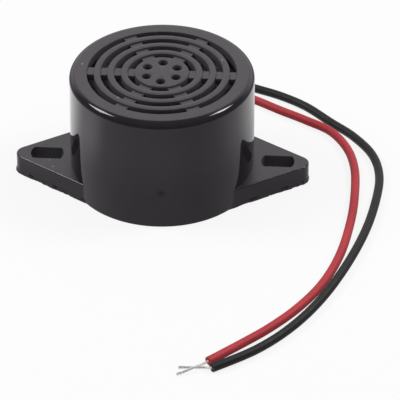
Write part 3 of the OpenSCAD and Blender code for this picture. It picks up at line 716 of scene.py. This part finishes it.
# joins the solids into one moulding, cuts its holes, then gives each face its finish
def makeCase(s):
    shell = makeShell(s)
    joined = [makeHub(s), makeGrille(s), makeEar(earSizes, 1), makeEar(earSizes, -1)]
    cut = [makeScrewHole(earSizes, 1), makeScrewHole(earSizes, -1), makeLeadHole(1), makeLeadHole(-1),
           makeHubHoles(s), makeDent(s)]
    for operation, tools in (("UNION", joined), ("DIFFERENCE", cut)):
        for tool in tools:
            modifier = shell.modifiers.new(tool.name, "BOOLEAN")
            modifier.operation, modifier.solver, modifier.object = operation, "MANIFOLD", tool
    piece = bakePiece("caseMoulding", shell)
    for tool in joined + cut:
        bpy.data.objects.remove(tool)
    piece.data.materials.clear()
    caseFinishes = ["polishedBlackAbs", "satinBlackAbs", "mattSlotAbsPaintedLight"]
    for finish in caseFinishes:
        piece.data.materials.append(materials[finish])
    build = bmesh.new()
    build.from_mesh(piece.data)
    bmesh.ops.remove_doubles(build, verts=build.verts, dist=s["mergeGap"] * mm)
    bmesh.ops.dissolve_degenerate(build, edges=build.edges, dist=s["slimEdge"] * mm)
    for face in build.faces:
        face.smooth = True
        face.material_index = caseFinishes.index(caseFinish(s, face))
    build.to_mesh(piece.data)
    openEdges = sum(1 for edge in build.edges if not edge.is_manifold)
    volume = build.calc_volume() / mm ** 3
    print("case: faces", len(build.faces), "open edges", openEdges, "volume mm3", round(volume, 1))
    build.free()
    piece.data.set_sharp_from_angle(angle=math.radians(s["sharpAngle"]))
    weigh = piece.modifiers.new("evenNormals", "WEIGHTED_NORMAL")
    weigh.keep_sharp = True
    return bakePiece("caseMoulding", piece)


case = makeCase(caseSizes)
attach(case, "root")
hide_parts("case")
print("case moulded")

# what is inside the case, and the cover below, keep their solids
innerFinishes = {
    # the resonator's lighter grey is painted light for the shaded slot bottoms
    "satinBlackAbs": ["base_cover"], "resonatorAbsPaintedLight": ["resonator_cup"], "rolledBrass": ["diaphragm"],
    "firedSilver": ["piezo_ceramic"], "ivoryAbs": ["spacer_ring"], "paperLaminate": ["circuit_board"],
    "pressedFerrite": ["coil_core"], "enamelledCopper": ["coil_winding"],
    "tinnedCopper": ["coil_pins", "transistor_legs", "resistor_legs", "diode_legs", "capacitor_legs"],
    "mouldedEpoxy": ["transistor_body", "diode_body"], "tanLacquer": ["resistor_bodies"],
    "ochreLacquer": ["capacitor_body"], "solderAlloy": ["solder_joints"],
    "blackPvc": ["diaphragm_lead", "black_lead_inner"], "redPvc": ["drive_lead", "red_lead_inner"],
    "bluePvc": ["feedback_lead"], "hotGlue": ["lead_anchor"],
}
for finish, nodes in innerFinishes.items():
    for node in nodes:
        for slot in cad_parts[node].material_slots:
            slot.material = materials[finish]
print("inner parts finished")

# stage: a white floor and studio surroundings; lengths in millimetres, light in shares of white
stageLook = {
    "floorSize": 4000.0, "floorDrop": 0.03, "floorColour": "#e6e6e6", "glow": 0.85, "ambient": 0.5,
    "overhead": 0.12, "backWall": 0.88, "wallEase": (0.35, 0.8), "riseEase": (-0.35, 0.25),
    # painted light and shade on the floor, as the gloss sees it: what each follows, X or Y of the direction
    # from the case or the distance, from where to where it eases, and its two levels
    "paintedGlows": {
        "front": ("X", 0.05, 0.7, 0.69, 0.55), "paintedNearShade": ("distance", 29.0, 49.0, 0.8, 1.0),
        "right": ("Y", -0.55, -0.1, 0.0, 0.25), "rightOnly": ("X", 0.4, 0.7, 0.0, 1.0),
        "left": ("Y", -0.6, -0.3, 0.0, 0.46), "leftOnly": ("X", -0.7, -0.4, 1.0, 0.0),
        "leftFall": ("Y", -0.25, 0.1, 1.0, 0.4), "behind": ("Y", -0.1, 0.35, 0.0, 0.52),
        "behindFall": ("X", -0.3, 0.3, 1.0, 0.5), "paintedSideShade": ("distance", 29.0, 49.0, 0.0, 1.0),
        "far": ("distance", 67.0, 110.0, 1.0, 0.2),
    },
    # the products of painted light and shade that are added up
    "paintedGlowSum": (("front", "paintedNearShade"), ("right", "rightOnly", "paintedSideShade"),
                ("left", "leftOnly", "leftFall", "paintedSideShade"), ("behind", "behindFall")),
}


# the floor is white to the camera, and keeps the shadow; the gloss sees it glow in a painted pattern:
# painted shade around the case, and painted light beside and behind it
def makeFloor(look):
    build = bmesh.new()
    half, z = look["floorSize"] / 2 * mm, -look["floorDrop"] * mm
    corners = ((-half, -half), (half, -half), (half, half), (-half, half))
    build.faces.new([build.verts.new((x, y, z)) for x, y in corners])
    floor = placeBuild("floor", build)
    material = bpy.data.materials.new("whitePaper")
    material.use_nodes = True
    tree = material.node_tree
    tree.nodes.clear()
    ray = addNode(tree, "ShaderNodeLightPath")
    place = addNode(tree, "ShaderNodeTexCoord")
    away = addNode(tree, "ShaderNodeVectorMath", {0: place.outputs["Object"]}, operation="LENGTH")
    bearing = addNode(tree, "ShaderNodeVectorMath", {0: place.outputs["Object"]}, operation="NORMALIZE")
    axis = addNode(tree, "ShaderNodeSeparateXYZ", {0: bearing.outputs[0]})
    # socket and unit of what a glow follows
    guides = {"X": (axis.outputs["X"], 1), "Y": (axis.outputs["Y"], 1), "distance": (away.outputs["Value"], mm)}
    eased = {}
    for name, (follows, start, stop, low, high) in look["paintedGlows"].items():
        value, unit = guides[follows]
        ease = addNode(tree, "ShaderNodeMapRange", {
            "Value": value, "From Min": start * unit, "From Max": stop * unit, "To Min": low, "To Max": high},
            interpolation_type="SMOOTHSTEP")
        eased[name] = ease.outputs[0]
    total = 0.0
    for group in look["paintedGlowSum"]:
        product = 1.0
        for name in group:
            scaled = addNode(tree, "ShaderNodeMath", {0: product, 1: eased[name]}, operation="MULTIPLY")
            product = scaled.outputs[0]
        total = addNode(tree, "ShaderNodeMath", {0: total, 1: product}, operation="ADD").outputs[0]
    # painted light and shade: the floor's glow in the gloss, fading far from the case
    paintedFloorGloss = addNode(tree, "ShaderNodeMath", {0: total, 1: eased["far"]}, operation="MULTIPLY")
    paper = addNode(tree, "ShaderNodeBsdfDiffuse", {"Color": linear(look["floorColour"])})
    inGloss = addNode(tree, "ShaderNodeEmission", {"Color": (1, 1, 1, 1), "Strength": paintedFloorGloss.outputs[0]})
    white = addNode(tree, "ShaderNodeEmission", {"Color": (1, 1, 1, 1), "Strength": 1.0})
    unseen = addNode(tree, "ShaderNodeMixShader", {0: ray.outputs["Is Glossy Ray"], 1: paper.outputs[0],
                                                   2: inGloss.outputs[0]})
    share = addNode(tree, "ShaderNodeMath", {0: ray.outputs["Is Camera Ray"], 1: look["glow"]},
                    operation="MULTIPLY")
    mixed = addNode(tree, "ShaderNodeMixShader", {0: share.outputs[0], 1: unseen.outputs[0],
                                                  2: white.outputs[0]})
    addNode(tree, "ShaderNodeOutputMaterial", {"Surface": mixed.outputs[0]})
    floor.data.materials.append(material)


# surroundings: white to the camera; in the gloss a bright wall behind and a dark room in front and overhead
def makeSurroundings(look):
    world = bpy.data.worlds.new("studio")
    scene.world = world
    world.use_nodes = True
    tree = world.node_tree
    tree.nodes.clear()
    ray = addNode(tree, "ShaderNodeLightPath")
    place = addNode(tree, "ShaderNodeTexCoord")
    axis = addNode(tree, "ShaderNodeSeparateXYZ", {0: place.outputs["Generated"]})
    wallStart, wallStop = look["wallEase"]
    wall = addNode(tree, "ShaderNodeMapRange", {
        "Value": axis.outputs["Y"], "From Min": wallStart, "From Max": wallStop, "To Max": look["backWall"]},
        interpolation_type="SMOOTHSTEP")
    riseStart, riseStop = look["riseEase"]
    rise = addNode(tree, "ShaderNodeMapRange", {
        "Value": axis.outputs["Z"], "From Min": riseStart, "From Max": riseStop},
        interpolation_type="SMOOTHSTEP")
    gloss = addNode(tree, "ShaderNodeMath", {0: wall.outputs[0], 1: rise.outputs[0], 2: look["overhead"]},
                    operation="MULTIPLY_ADD")
    soft = addNode(tree, "ShaderNodeMix", {"Factor": ray.outputs["Is Glossy Ray"], 2: look["ambient"],
                                           3: gloss.outputs[0]}, data_type="FLOAT")
    seen = addNode(tree, "ShaderNodeMath", {
        0: ray.outputs["Is Camera Ray"], 1: ray.outputs["Is Transmission Ray"]}, operation="MAXIMUM")
    level = addNode(tree, "ShaderNodeMix", {"Factor": seen.outputs[0], 2: soft.outputs[0], 3: 1.0},
                    data_type="FLOAT")
    light = addNode(tree, "ShaderNodeBackground", {"Color": (1, 1, 1, 1), "Strength": level.outputs[0]})
    addNode(tree, "ShaderNodeOutputWorld", {"Surface": light.outputs[0]})


# two soft boxes above, at the left and right, a little behind; lengths in metres
lamps = [
    {"name": "softBoxLeft", "direction": (-0.66, 0.03, 0.73), "distance": 0.6, "size": 0.21, "watts": 1.6},
    {"name": "softBoxRight", "direction": (0.61, 0.14, 0.77), "distance": 0.6, "size": 0.17, "watts": 1.4},
]


def makeLamp(look):
    data = bpy.data.lights.new(look["name"], "AREA")
    data.shape, data.size, data.energy = "SQUARE", look["size"], look["watts"]
    data.cycles.max_bounces = 0  # direct light only, so what the wall mirrors stays dark
    lamp = placeObject(look["name"], data)
    towards = Vector(look["direction"]).normalized()
    lamp.location = towards * look["distance"]
    lamp.rotation_euler = towards.to_track_quat("Z", "Y").to_euler()


makeFloor(stageLook)
makeSurroundings(stageLook)
for look in lamps:
    makeLamp(look)
print("stage lit")
